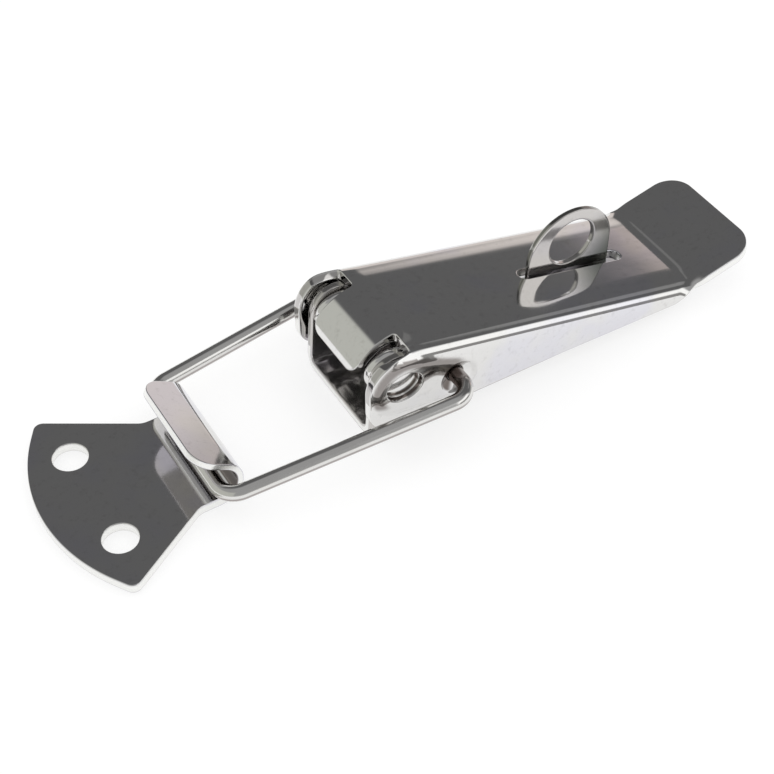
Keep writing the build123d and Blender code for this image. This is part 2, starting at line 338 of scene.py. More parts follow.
def webSection(s, curled):
    # The web's top face in side view: straight, wound up round the bill's bend behind and
    # down round the curl in front. Curled is the share of the curl that it takes, 0 to 1.
    ahead = (curlStart - s) * (curled > 0)
    curl = np.clip(ahead / lever["curlRadius"], 0, curlTurn)[:, None]
    curlOver = np.maximum(ahead - lever["curlRadius"] * curlTurn, 0)[:, None]
    bill = np.clip((s - billStart) / lever["billBendRadius"], 0, billTurn)[:, None]
    billOver = np.maximum(s - billStart - lever["billBendRadius"] * billTurn, 0)[:, None]
    turn = bill + curl
    normal = np.cos(turn) * webNormal - np.sin(turn) * downSlope
    tangent = np.cos(turn) * downSlope + np.sin(turn) * webNormal
    flat = np.minimum(np.where(curled > 0, np.maximum(s, curlStart), s), billStart)[:, None]
    point = webOrigin + flat * downSlope
    radius = lever["curlRadius"]
    point = point + np.where(curl > 0, radius * (normal - webNormal), 0) - curlOver * tangent
    radius = lever["billBendRadius"]
    point = point + np.where(bill > 0, radius * (webNormal - normal), 0) + billOver * tangent
    straight = webOrigin + np.minimum(s, billStart)[:, None] * downSlope
    share = np.where((s < curlStart) & (curled < 1), curled, 1)[:, None]
    point = straight + (point - straight) * share
    normal = webNormal + (normal - webNormal) * share
    return point, normal / np.linalg.norm(normal, axis=1)[:, None]


def unevenCapsule(x, z, start, end, startRadius, endRadius):
    # Signed distance to the hull of two circles: round each end it is that circle's, and
    # between them that of the straight flank, which leans by the difference of the radii
    # over the distance of the centres.
    start, end = np.array(start), np.array(end)
    axis = end - start
    length = np.linalg.norm(axis)
    axis /= length
    along = (x - start[0]) * axis[0] + (z - start[1]) * axis[1]
    aside = np.abs((z - start[1]) * axis[0] - (x - start[0]) * axis[1])
    lean = (startRadius - endRadius) / length
    flat = (1 - lean ** 2) ** 0.5
    station = along * flat - aside * lean
    flank = aside * flat + along * lean - startRadius
    near = np.hypot(along, aside) - startRadius
    far = np.hypot(along - length, aside) - endRadius
    return np.where(station < 0, near, np.where(station > flat * length, far, flank))


def padHeight(x, z):
    # Rise of the pad: nothing outside its foot, full inside its crown, an S between.
    foot = unevenCapsule(x, z, lever["pivot"], lever["bailHole"], *lever["padFoot"])
    crown = unevenCapsule(x, z, lever["pivot"], lever["bailHole"], *lever["padCrown"])
    share = np.clip(-foot / np.maximum(crown - foot, 1e-6), 0, 1)
    sharp = lever["padSharp"]
    return lever["padRise"] * (share * sharp + share * share * (3 - 2 * share) * (1 - sharp))


def leverTint(points, edgeAndShade):
    # Painted shade, below 0: the pad's slope above a line that is level in front and then
    # falls, the dishes' upper front, and the sheared rims round the nose and the notch.
    x, y, z = points.T
    shade = lever["shade"]
    hx, hz = lever["bailHole"]
    outside = np.abs(y) > lever["width"] / 2 - 0.1
    outer = unevenCapsule(x, z, lever["pivot"], lever["bailHole"], *shade["outer"])
    inner = unevenCapsule(x, z, lever["pivot"], lever["bailHole"], *shade["inner"])
    levelEnd, levelHeight = shade["level"]
    fallX, fallHeight, fall = shade["fall"]
    line = np.where(x < levelEnd, levelHeight, fallHeight - fall * (x - fallX))
    lineStart, lineEnd = shade["lineEdge"]
    holeStart, holeEnd = shade["holeEdge"]
    band = (1 - ramp(outer, *shade["outerEdge"])) * ramp(inner, *shade["innerEdge"])
    band = band * ramp(z, line + lineStart, line + lineEnd)
    band = band * outside * (1 - ramp(x, hx + holeStart, hx + holeEnd))
    pad = (1 - ramp(outer, *shade["padEdge"])) * outside
    dish = np.hypot(x - hx, z - hz) < lever["sinkRadius"] + shade["dishRound"]
    inFront = 1 - ramp((x - hx) - (z - hz) * shade["dishLean"], *shade["dishEdge"])
    front, rear, foot = shade["rimBox"]
    rim = (x > front) & (x < rear) & (z > foot) & (edgeAndShade > 0)
    edgeAndShade = np.where(dish & (edgeAndShade < 0), edgeAndShade * inFront, edgeAndShade)
    flat = -shade["slope"] * band - shade["pad"] * pad * (1 - band)
    return np.where(rim, -shade["rim"], np.where(edgeAndShade == 0, flat, edgeAndShade))


def leverShape(s, t, depth):
    # Web section carried across, then wound down over the two long folds: the fold's
    # angle is its arc over the radius, and it fades out towards the bill.
    side, reach = np.sign(t), np.abs(t)
    notch = lever["notchRear"] / cos(slope)
    onCurl = reach < lever["curlShare"] * lever["curlWidth"]
    curled = np.where(s < notch, onCurl, 1 - ramp(reach, *lever["curlBlend"]))
    point, normal = webSection(s, curled)
    x = s * cos(slope)
    fade = 1 - ramp(x, *lever["foldFade"])
    inArc = np.clip(reach - foldStart, 0, foldLength)
    past = np.maximum(reach - foldStart - foldLength, 0)
    angle = np.maximum(inArc * fade / lever["foldRadius"], 1e-9)
    across = (np.minimum(reach, foldStart) + inArc * np.sin(angle) / angle
              - depth * np.sin(angle) + past * np.cos(angle))
    up = -inArc * (1 - np.cos(angle)) / angle - depth * np.cos(angle) - past * np.sin(angle)
    crown = ramp(reach, *lever["crownUp"]) * (1 - ramp(reach, *lever["crownDown"])) * fade
    out = point + (up - lever["crown"] * crown)[:, None] * normal
    out[:, 1] += side * across
    onFlange = (reach > foldStart + lever["padFold"] * foldLength) & (x < lever["padEnd"])
    out[:, 1] += np.where(onFlange, side * padHeight(out[:, 0], out[:, 2]) * np.sin(angle), 0)
    return out


def flangePattern(loop, side):
    # From the flange's side view (x, z) back to the flat blank: s along the web, t the
    # flat half, the arc down to that height and what is left straight.
    along = loop[:, 0] * downSlope[0] + (loop[:, 1] - webOrigin[2]) * downSlope[2]
    down = -(loop[:, 0] * webNormal[0] + (loop[:, 1] - webOrigin[2]) * webNormal[2])
    radius = lever["foldRadius"]
    arc = radius * np.arccos(np.clip(1 - down / radius, 0, 1))
    t = foldStart + np.where(down < radius, arc, foldLength + down - radius)
    return np.stack([along, side * t], 1)


def leverOutline():
    # Side views of the flanges, the curl's and the bill's plan, joined in one loop.
    step = lever["step"]
    px, pz = lever["pivot"]
    nose, (toe, foot), rear = lever["noseRadius"], lever["footHeight"], lever["footEnd"]
    flange = roundedLoop([
        (px - nose, pz + nose, nose), (px - nose, toe, lever["toeRadius"]),
        (rear, foot, 0), (rear, pz + nose, 0)], step)
    # of this loop the run from the nose's top round the nose and toe to the rear is kept,
    # and a straight from the notch leads in to it
    lowEnd = int(np.argmin(np.hypot(flange[:, 0] - rear, flange[:, 1] - foot)))
    ahead = roundedRun([(lever["notchRear"], pz + nose), (px, pz + nose)], step)
    right = flangePattern(np.concatenate([ahead[:-1], flange[:lowEnd + 1]]), -1)
    # bill: from the flange's foot round to the middle of its front edge
    billEnd = billStart + lever["billBendRadius"] * billTurn + (
        lever["billReach"] / cos(radians(lever["billPitch"]))
        - lever["billBendRadius"] * tan(billTurn / 2))
    billHalf = lever["billWidth"] / 2
    joinS = lever["billMeet"] / cos(slope)
    bill = roundedRun([(joinS, -billHalf), (billEnd, -billHalf), (billEnd, 0)], step,
                      [0, lever["billCorner"], 0])
    # Hermite curve from the flange's foot, in its direction, to the bill's side
    h = np.linspace(0, 1, lever["billBlendPoints"] + 2)[1:-1, None]
    a, b = right[-1], bill[0]
    leave = (right[-1] - right[-6]) / np.linalg.norm(right[-1] - right[-6])
    arrive = np.array([1.0, 0])
    span = np.linalg.norm(b - a)
    blend = ((2 * h ** 3 - 3 * h ** 2 + 1) * a + (h ** 3 - 2 * h ** 2 + h) * span * leave
             + (3 * h ** 2 - 2 * h ** 3) * b + (h ** 3 - h ** 2) * span * arrive)
    # curl, and the notch with its two small corners
    half = lever["curlWidth"] / 2
    notch = lever["notchRear"] / cos(slope)
    curlEnd = curlStart - lever["curlRadius"] * curlTurn - lever["curlTail"]
    curl = roundedRun([(notch, -half), (curlEnd, -half), (curlEnd, 0)], step,
                      [0, lever["curlCorner"], 0])
    lead = int(lever["notchLead"] / step)
    far = right[lead]
    lean = (far - right[0]) / (far[0] - right[0][0])
    corner = right[0] + lean * (notch - right[0][0])
    notchRun = roundedRun([(notch - lever["notchReach"], -half), (notch, -half), corner, far],
                          step, [0, lever["notchCorner"], lever["notchCorner"], 0])
    curl = curl[curl[:, 0] < notchRun[0, 0] - 0.1]
    lowerHalf = np.concatenate([curl[::-1], notchRun, right[lead + 1:], blend, bill])
    upperHalf = lowerHalf[::-1] * [1, -1]
    return np.concatenate([lowerHalf[:-1], upperHalf[:-1]])


def bossProfiles(radius, thickness):
    # Section of a pressed boss: a rounded lip, a wall down to the recess's floor and in
    # to its centre, domed by a parabola; below, the boss passes the ear and ends in a
    # wider round head.
    press, (neck, end), head = lever["bossPress"], lever["headDepth"], lever["headRadius"]
    lip, fillet, stem = 0.2, 0.15, 0.1
    quarter = np.linspace(0, pi / 2, 6)
    top = [[-lip - 0.06, 0, 0]]
    top += [[lip * (sin(a) - 1), lip * (1 - cos(a)), 0] for a in quarter]
    # the wall is marked -1: painted shade inside the recess
    top += [[0.0, d, -1] for d in np.linspace(lip, press - fillet, 4)[1:]]
    top += [[fillet * (1 - cos(a)), press - fillet + fillet * sin(a), 0] for a in quarter[1:]]
    top += [[x, press - lever["bossDome"] * (1 - (1 - x / radius) ** 2), 0]
            for x in np.linspace(0.25, radius, 10)]
    out, half = radius - head, (end - neck) / 2
    low = [[-fillet, thickness, 0], [stem, thickness, 0]]
    low += [[stem, d, 0] for d in np.linspace(thickness, neck, 4)[1:]]
    low += [[out + half * (1 - sin(a)), neck + half * (1 - cos(a)), 0]
            for a in np.linspace(0, pi, 13)]
    low += [[x, end, 0] for x in np.linspace(out + half + 0.3, radius, 10)]
    return np.array(top), np.array(low)


def sinkProfile(radius, sinkRadius, sinkDepth, thickness):
    # Section of a dished hole: rounded lip, cone, short wall, small round below.
    wide = radius - sinkRadius
    lipBack, lipReach, lipDrop, below = 0.25, 0.35, 0.22, 0.12
    top = [[wide - lipReach, 0, 0]]
    top += [[wide - lipBack + lipReach * a, lipDrop * a * a, 0] for a in np.linspace(0, 1, 6)]
    coneX, coneTop, _ = top[-1]
    # the cone is marked -1, painted shade that leverTint keeps only on the dish's upper front; the
    # short wall, 0.5, is half-bright sheared metal
    top += [[coneX * (1 - k), coneTop + (sinkDepth - coneTop) * k ** 0.9, -1]
            for k in np.linspace(0, 1, 7)[1:]]
    top += [[0.0, d, 0.5] for d in np.linspace(sinkDepth, thickness - below, 4)[1:]]
    top += [[below * (cos(a) - 1), thickness - below * (1 - sin(a)), 0]
            for a in np.linspace(0, pi / 2, 4)[1:]]
    top += [[-0.2, thickness, 0]]
    return np.array(top)


def makeLever():
    outline, step, thick = leverOutline(), lever["step"], lever["sheet"]
    front, rear = (x / cos(slope) for x in lever["slot"])
    halfSlot = lever["slotWidth"] / 2
    slotEnd = halfSlot - 0.01
    slot = roundedLoop([(front, -halfSlot, slotEnd), (rear, -halfSlot, slotEnd),
                        (rear, halfSlot, slotEnd), (front, halfSlot, slotEnd)], step)
    holes = [(slot, None, None, None)]
    recess, lift = lever["recessRadius"], [0, lever["recessLift"]]
    bossTop, bossLow = bossProfiles(recess, thick)
    sink = sinkProfile(lever["wireHole"], lever["sinkRadius"], lever["sinkDepth"], thick)
    for side in (-1, 1):
        boss = circleLoop(*lever["pivot"], recess, 0.25) - lever["pivot"]
        boss = flangePattern(boss * lever["recessStretch"] + lever["pivot"] + lift, side)
        middle = flangePattern(np.array([lever["pivot"]]) + lift, side)
        hole = flangePattern(circleLoop(*lever["bailHole"], lever["wireHole"], 0.16), side)
        holes += [(boss, bossTop, bossLow, (middle, recess)), (hole, sink, None, None)]
    # free points: close across the folds and along the bends, wide on the flats
    foldEnd = foldStart + foldLength
    fold = spaced(foldStart, 0.2, foldEnd)
    web = spaced(-foldStart, lever["webStep"], foldStart)
    skirt = spaced(foldEnd, 0.6, foldEnd + 16)[1:]
    tLines = np.concatenate([-skirt[::-1], -fold[::-1], web[1:-1], fold, skirt])
    sLines = spaced(outline[:, 0].min(), lever["bendStep"], curlStart + 0.3, lever["webStep"],
                    billStart - 1.5, 0.16, billStart + 3.5, lever["webStep"], outline[:, 0].max())
    spots = gridSpots(sLines, tLines)
    # and finest of all under the pads
    padFront, padRear, padTop, padFoot = -19.5, 3.5, foldEnd - 0.5, foldEnd + 14
    for tFrom, tTo in ((-padFoot, -padTop), (padTop, padFoot)):
        fine = gridSpots(np.arange(padFront, padRear, lever["fineStep"]),
                         np.arange(tFrom, tTo, lever["fineStep"]))
        spots = np.concatenate([without(spots, (padFront, padRear, tFrom, tTo)), fine])
    return foldedSheet("lever_pressing", outline, holes, leverShape, spots, thick, leverTint)


base = {
    "sheet": 1.5, "front": -18.9, "rear": 34.0, "width": 18.2, "corner": 3.5,
    "earInside": 7.8, "foldRadius": 1.0, "earRadius": 4.1, "earRear": -8.2, "relief": 0.6,
    "pivotHole": 2.85, "screws": (-10.0, 10.0), "screwRadius": 2.6,
    "eyeFront": 14.3, "eyeWidth": 15.1, "eyeHeight": 18.4, "eyeFold": -1.75, "eyeSlit": 0.5,
    "eyeHole": (0.2, 12.5, 4.0), "eyeSheet": (0.6, 0.6), "earSheet": (0.1, 0.78), "step": 0.3,
    "flatStep": 0.7, "foldStep": 0.13, "edgeRound": (0.3, 0.22),
    "earRimShade": 0.3, "eyeRimShade": 0.75, "eyeShade": (18.0, 31.0),
}
earFlat = base["earInside"] - base["foldRadius"]


def baseShape(s, t, depth):
    # The floor's top face, with the ears and the eye wound up round their inside radius
    # and straight from there: y and z by cos and sin of arc over radius.
    radius, floor = base["foldRadius"], base["sheet"]
    eyeEnd = base["eyeFront"] + base["eyeWidth"]
    inSlit = base["eyeSlit"] / 2
    isEye = (s > base["eyeFront"] - inSlit) & (s < eyeEnd + inSlit) & (t > base["eyeFold"])
    isEar = (s < base["earRear"] + base["relief"] / 2)
    start = np.where(isEye, base["eyeFold"], earFlat)
    reach = np.where(isEye, t, np.abs(t))
    side = np.where(isEye, 1.0, np.where(t < 0, -1.0, 1.0))
    bent = isEye | (isEar & (np.abs(t) > earFlat))
    arc = np.clip(reach - start, 0, radius * pi / 2)
    past = np.maximum(reach - start - radius * pi / 2, 0)
    angle = arc / radius
    # the upright parts are thinner: depth becomes a shift and a share of itself
    shift = np.where(isEye, base["eyeSheet"][0], base["earSheet"][0])
    share = np.where(isEye, base["eyeSheet"][1], base["earSheet"][1])
    depth = np.where(bent, depth + (shift + depth * (share - 1)) * np.sin(angle) ** 2, depth)
    y = start + (radius + depth) * np.sin(angle)
    z = floor + radius - (radius + depth) * np.cos(angle) + past
    return np.stack([s, np.where(bent, side * y, t), np.where(bent, z, floor - depth)], 1)


def baseTint(points, edgeAndShade):
    # Painted shade, below 0: the ears' rims, the eye's outer rim, and the eye itself more
    # and more towards its foot and far side.
    x, y, z = points.T
    onEar = (x < base["earRear"] + 0.5) & (np.abs(y) > base["earInside"] - 0.2) & (z > 4)
    onEye = (np.abs(y) < 2) & (z > 2) & (x > 12)
    shift, holeZ, radius = base["eyeHole"]
    holeX = base["eyeFront"] + base["eyeWidth"] / 2 + shift
    outer = onEye & (edgeAndShade > 0) & (np.hypot(x - holeX, z - holeZ) > radius + 0.8)
    shade = ramp(x + (9 - z), *base["eyeShade"])
    tinted = np.where(outer, -base["eyeRimShade"], np.where(onEye, edgeAndShade * 0.3 - shade, edgeAndShade))
    return np.where(onEar & (edgeAndShade > 0), -base["earRimShade"], tinted)


def makeBase():
    step, flatStep, foldStep = base["step"], base["flatStep"], base["foldStep"]
    bendLength = pi / 2 * base["foldRadius"]
    # what a height in the upright sheet gains when it is laid flat
    toEar = earFlat + bendLength - base["foldRadius"] - base["sheet"]
    toEye = base["eyeFold"] + bendLength - base["foldRadius"] - base["sheet"]
    px, pz = lever["pivot"]
    r = base["earRadius"]
    half = base["width"] / 2
    front, rear, earRear = base["front"], base["rear"], base["earRear"]
    slitEnd = earRear + base["relief"]
    earFoot = earFlat + 0.5
    centre = np.array([px, pz + toEar])

    def touchAngle(footX, side):
        # angle on the crown's circle where the line from the ear's foot touches it
        gap = centre - [footX, earFoot]
        return atan2(gap[1], gap[0]) + side * np.arcsin(r / np.linalg.norm(gap)) + side * pi / 2

    def crownCorner(a0, a1):
        # where the tangents at two angles meet: radius / cos of half the angle between
        middle, spread = (a0 + a1) / 2, (a1 - a0) / 2
        return (px + r * np.cos(middle) / np.cos(spread),
                pz + toEar + r * np.sin(middle) / np.cos(spread), r - 0.002)

    stops = np.linspace(touchAngle(earRear, -1), touchAngle(front, 1), 4)
    crown = [crownCorner(a0, a1) for a0, a1 in zip(stops, stops[1:])]
    notch, notchRound = earFlat - 0.4, 0.29
    upper = [(slitEnd, half, 0.8), (slitEnd, notch, notchRound), (earRear, notch, notchRound),
             (earRear, earFoot, 1.0)] + crown + [(front, earFoot, 1.0)]
    lower = [(x, -y, q) for x, y, q in upper][::-1]
    # the eye, cut free by a slit on each side
    eyeFront, eyeEnd = base["eyeFront"], base["eyeFront"] + base["eyeWidth"]
    eyeHalf, slit, fold = base["eyeWidth"] / 2, base["eyeSlit"], base["eyeFold"]
    top, foot, slitRound = base["eyeHeight"] + toEye, fold - 0.3, 0.24
    eye = [(rear, half, base["corner"]), (eyeEnd + slit, half, 0.6),
           (eyeEnd + slit, foot, slitRound), (eyeEnd, foot, slitRound),
           (eyeEnd, top, eyeHalf - 0.01), (eyeFront, top, eyeHalf - 0.01),
           (eyeFront, foot, slitRound), (eyeFront - slit, foot, slitRound),
           (eyeFront - slit, half, 0.6)]
    outline = roundedLoop(lower + [(rear, -half, base["corner"])] + eye + upper, step)
    shift, z, radius = base["eyeHole"]
    rounds = [(x, 0, base["screwRadius"]) for x in base["screws"]]
    rounds += [(px, side * (pz + toEar), base["pivotHole"]) for side in (-1, 1)]
    rounds.append((eyeFront + eyeHalf + shift, z + toEye, radius))
    holes = [(circleLoop(*place, 0.3), None, None, None) for place in rounds]
    # free points: close across the folds, wide on the flats, with the eye's own lines
    arc = spaced(earFlat, foldStep, earFlat + bendLength)
    upright = spaced(earFlat + bendLength, flatStep, 22)
    tLines = np.concatenate([-upright[::-1], -arc[::-1],
                             spaced(-earFlat, flatStep, earFlat)[1:-1], arc, upright])
    spots = gridSpots(spaced(front, flatStep, rear), tLines)
    spots = without(spots, (eyeFront - 0.3, eyeEnd + 0.3, fold - 0.4, 20))
    eyeLines = spaced(foot, foldStep, fold + bendLength + 0.2, flatStep, 20)
    spots = np.concatenate([spots, gridSpots(spaced(eyeFront, flatStep, eyeEnd), eyeLines)])
    return foldedSheet("base_pressing", outline, holes, baseShape, spots, base["sheet"],
                       baseTint, edgeProfile(base["sheet"], *base["edgeRound"]))


catch = {
    "sheet": 1.6, "hookX": -42.9, "hookRadius": 2.45, "hookTurn": 150.0, "lipLength": 5.3,
    "neckWidth": 18.4, "lipCorner": 3.2, "fanRoot": -45.9, "rootRadius": 2.5,
    "fanRadius": 26.8, "fanCentre": -38.4, "fanHalfAngle": 39.7, "fanCorner": 1.3,
    "hookThin": (0.55, 2.0), "holeX": -57.4, "holeSpacing": 17.0, "holeRadius": 2.55, "step": 0.3,
    "rollShade": 0.9, "lipShade": 0.5,
}


def catchShape(s, t, depth):
    # The plate's top face, wound up and back round the hook's inside radius, straight
    # again along the lip.
    radius, turn = catch["hookRadius"], radians(catch["hookTurn"])
    angle = np.clip((s - catch["hookX"]) / radius, 0, turn)
    past = np.maximum(s - catch["hookX"] - radius * turn, 0)
    # the hook is thinner than the plate, from the inside
    thin, over = catch["hookThin"]
    onHook = ramp(s, catch["hookX"], catch["hookX"] + over)
    depth = depth + thin * (1 - depth / catch["sheet"]) * onHook
    x = np.minimum(s, catch["hookX"]) + (radius + depth) * np.sin(angle) + past * np.cos(angle)
    z = (catch["sheet"] + radius) - (radius + depth) * np.cos(angle) + past * np.sin(angle)
    return np.stack([x, t, z], 1)


def catchTint(points, edgeAndShade):
    # Painted shade, below 0, inside the roll of the hook.
    x, _, z = points.T
    inside = np.hypot(x - catch["hookX"], z - catch["sheet"] - catch["hookRadius"])
    inside = (inside < catch["hookRadius"] + 0.75) & (x > catch["hookX"] - 2.5) & (z > 2.0)
    # and less so under the lip: along it and up from its inner face
    turn = radians(catch["hookTurn"])
    fromX = x - catch["hookX"] - catch["hookRadius"] * sin(turn)
    fromZ = z - catch["sheet"] - catch["hookRadius"] * (1 - cos(turn))
    along, up = fromX * cos(turn) + fromZ * sin(turn), fromX * sin(turn) - fromZ * cos(turn)
    under = (along > -0.3) & (up > 0) & (up < 1.0)
    tinted = np.where(inside, -catch["rollShade"], np.where(under, -catch["lipShade"], edgeAndShade))
    return np.where(edgeAndShade > 0, edgeAndShade, tinted)


def makeCatch():
    step = catch["step"]
    r, cx = catch["fanRadius"], catch["fanCentre"]
    neck, root = catch["neckWidth"] / 2, catch["fanRoot"]
    end = catch["hookX"] + catch["hookRadius"] * radians(catch["hookTurn"]) + catch["lipLength"]
    half = radians(catch["fanHalfAngle"])
    tip = np.array([cx - r * cos(half), r * sin(half)])
    side = tip - [root, neck]
    # tangents to the big arc, each corner with the arc's own radius
    inset = 0.12
    angles = np.linspace(pi - half + inset, pi + half - inset, 8)
    arcCorners = []
    for a0, a1 in zip(angles, angles[1:]):
        far = r / np.cos((a1 - a0) / 2)
        arcCorners.append((cx + far * np.cos((a0 + a1) / 2), far * np.sin((a0 + a1) / 2),
                           r - 0.003))
    # the side's line meets the first tangent
    outward = np.array([np.cos(angles[0]), np.sin(angles[0])])
    reach = (r - (np.array([root, neck]) - [cx, 0]) @ outward) / (side @ outward)
    meet = np.array([root, neck]) + side * reach
    corners = [(end, -neck, catch["lipCorner"]), (end, neck, catch["lipCorner"]),
               (root, neck, catch["rootRadius"]), (meet[0], meet[1], catch["fanCorner"])]
    corners += arcCorners
    corners += [(meet[0], -meet[1], catch["fanCorner"]), (root, -neck, catch["rootRadius"])]
    outline = roundedLoop(corners, step)
    holes = []
    for place in (-catch["holeSpacing"] / 2, catch["holeSpacing"] / 2):
        hole = circleLoop(catch["holeX"], place, catch["holeRadius"], 0.25)
        holes.append((hole, None, None, None))
    bendEnd = end - catch["lipLength"]
    sLines = spaced(outline[:, 0].min(), 0.8, catch["hookX"] - 0.3, 0.11, bendEnd + 0.3, 0.6, end)
    spots = gridSpots(sLines, spaced(-18, 0.8, 18))
    return foldedSheet("catch_pressing", outline, holes, catchShape, spots, catch["sheet"],
                       catchTint)


bail = {
    "wire": 2.4, "bar": (-43.1, 4.6), "hole": (-5.3, 7.6), "holeSpan": 30.8, "barSpan": 24.0,
    "holeBend": 2.9, "barBend": 3.0, "endInside": 8.6, "step": 0.25, "sides": 40,
    "roundOff": 0.35, "endRings": (1e-4, 0.4, 0.75),
    "endShade": 0.8, "endFade": (12.6, 14.2), "endFront": -12.0,
    "flankReflection": 0.85, "flankDrop": 0.12, "flankFade": (0.06, 0.26),
}


def makeBail():
    # A circle carried along the bent centre line, which lies in one plane; the ends are
    # rounded off by rings that shrink as a quarter circle.
    bx, bz = bail["bar"]
    hx, hz = bail["hole"]
    axis = np.array([hx - bx, 0, hz - bz])
    length = np.linalg.norm(axis)
    axis /= length
    up = np.cross(axis, [0, 1, 0])
    corners = [(length, -bail["endInside"]), (length, -bail["holeSpan"] / 2),
               (0, -bail["barSpan"] / 2), (0, bail["barSpan"] / 2),
               (length, bail["holeSpan"] / 2), (length, bail["endInside"])]
    line = roundedRun(corners, bail["step"], [0, bail["holeBend"], bail["barBend"],
                                              bail["barBend"], bail["holeBend"], 0])
    centre = np.array([bx, 0, bz]) + line[:, :1] * axis + line[:, 1:] * np.array([0, 1, 0])
    tangent = np.gradient(centre, axis=0)
    tangent /= np.linalg.norm(tangent, axis=1)[:, None]
    # ends: rings from the middle out to the rim, then along the rounded edge
    wireRadius, roundOff, inner = bail["wire"] / 2, bail["roundOff"], len(bail["endRings"])
    cap = np.linspace(0, pi / 2, 6)
    shift = np.concatenate([np.zeros(inner), roundOff * (1 - np.cos(cap))])[:, None]
    shrunk = np.concatenate([bail["endRings"], wireRadius - roundOff * (1 - np.sin(cap))])
    centre, first, last = centre[3:-3], centre[0], centre[-1]
    points = np.concatenate([first + shift * tangent[0], centre, last - shift[::-1] * tangent[-1]])
    along = np.concatenate([np.repeat(tangent[:1], len(shift), 0), tangent[3:-3],
                            np.repeat(tangent[-1:], len(shift), 0)])
    radii = np.concatenate([shrunk, np.full(len(centre), wireRadius), shrunk[::-1]])
    sideways = np.cross(up, along)
    turn = np.linspace(0, 2 * pi, bail["sides"], endpoint=False)
    verts = (points[:, None] + radii[:, None, None]
             * (np.cos(turn)[None, :, None] * up + np.sin(turn)[None, :, None] * sideways[:, None]))
    rows, cols = verts.shape[:2]
    index = np.arange(rows * cols).reshape(rows, cols)
    nextCol = np.roll(index, -1, 1)
    quads = np.stack([index[:-1], nextCol[:-1], nextCol[1:], index[1:]], 2).reshape(-1, 4)
    ends = np.repeat((np.arange(rows) < inner) | (np.arange(rows) >= rows - inner), cols)
    # painted shade on the wire's ends, inside the lever's flanges and in their holes
    paintedShade = 1 - ramp(np.abs(verts[..., 1]).ravel(), *bail["endFade"])
    paintedShade = bail["endShade"] * paintedShade * (verts[..., 0].ravel() > bail["endFront"])
    # painted reflection: a darker line runs a little below the middle of each flank
    rise = ((verts[..., 2] - points[:, 2:]) / radii[:, None]).ravel()
    darkReflection = bail["flankReflection"] * (1 - ramp(np.abs(rise + bail["flankDrop"]), *bail["flankFade"]))
    edgeAndShade = np.where(ends, 1.0, -np.maximum(paintedShade, darkReflection))
    return finishMesh("bail_wire", verts.reshape(-1, 3), quads.tolist(), edgeAndShade)


class Socket:
    # A node's output that can be used in sums; each sum adds its Math node.
    def __init__(self, tree, link):
        self.tree, self.link = tree, link

    def other(self, outlet):
        # another output of the same node
        return Socket(self.tree, self.link.node.outputs[outlet])

    def maths(self, operation, *values):
        inputs = {str(i): value for i, value in enumerate(values)}
        return addNode(self.tree, "ShaderNodeMath", {"operation": operation}, **inputs)

    def atLeast(self, least):
        return self.maths("MAXIMUM", self, least)

    def atMost(self, most):
        return self.maths("MINIMUM", self, most)

    def ramp(self, low, high):
        return addNode(self.tree, "ShaderNodeMapRange", {"interpolation_type": "SMOOTHSTEP"},
                       Value=self, From_Min=low, From_Max=high)

    def __add__(self, other):
        return self.maths("ADD", self, other)

    def __radd__(self, other):
        return self.maths("ADD", other, self)

    def __rsub__(self, other):
        return self.maths("SUBTRACT", other, self)

    def __mul__(self, other):
        return self.maths("MULTIPLY", self, other)

    def __rmul__(self, other):
        return self.maths("MULTIPLY", other, self)


def addNode(tree, kind, settings=None, outlet=0, **values):
    # Settings first; then each socket, by name or by number, gets a value or a link.
    node = tree.nodes.new(kind)
    for key, value in (settings or {}).items():
        setattr(node, key, value)
    for key, value in values.items():
        key = key.replace("_", " ")
        socket = node.inputs[int(key)] if key.isdigit() else node.inputs[key]
        if isinstance(value, Socket):
            tree.links.new(value.link, socket)
        else:
            socket.default_value = value
    return Socket(tree, node.outputs[outlet]) if node.outputs else None


def mixColour(tree, factor, first, second):
    # Colours go through a Mix node: the first where the factor is 0, the second where 1.
    first, second = ((*c, 1) if isinstance(c, tuple) else c for c in (first, second))
    return addNode(tree, "ShaderNodeMix", {"data_type": "RGBA"}, 2,
                   **{"0": factor, "6": first, "7": second})


def noise(tree, place, scale, detail, roughness=0.5):
    # Noise on the given coordinates, about 0.5 on average.
    return addNode(tree, "ShaderNodeTexNoise", None, 0, Vector=place, Scale=scale, Detail=detail,
                   Roughness=roughness)


def newMaterial(name):
    # A material with an empty tree.
    material = bpy.data.materials.new(name)
    material.use_nodes = True
    tree = material.node_tree
    tree.nodes.clear()
    return material, tree


polish = {
    # the sheet's dark colour serves both the stain of specks and smudges and the painted shade; the
    # bracket's dark colour is painted shade only
    "steel": (0.78, 0.775, 0.765), "stainAndShade": (0.16, 0.135, 0.125),
    "bracket": (0.62, 0.60, 0.585), "bracketShade": (0.10, 0.108, 0.092),
    "cool": (0.93, 0.93, 1.04), "sheared": (0.92, 0.92, 0.90), "shearedRough": 0.22,
    "blotchScale": 55.0, "blotchEdge": (0.48, 0.66), "blotch": 0.6,
    "speckScale": 900.0, "speckEdge": (0.52, 0.72), "speck": 0.12,
    "smudgeScale": 160.0, "smudge": 0.06, "smudgeStain": 0.05, "roughness": 0.055,
    "grainStretch": (60.0, 900.0, 900.0), "grain": 0.06,
    "waveScale": 90.0, "bumpStrength": 0.25, "bumpHeight": 0.00006,
}


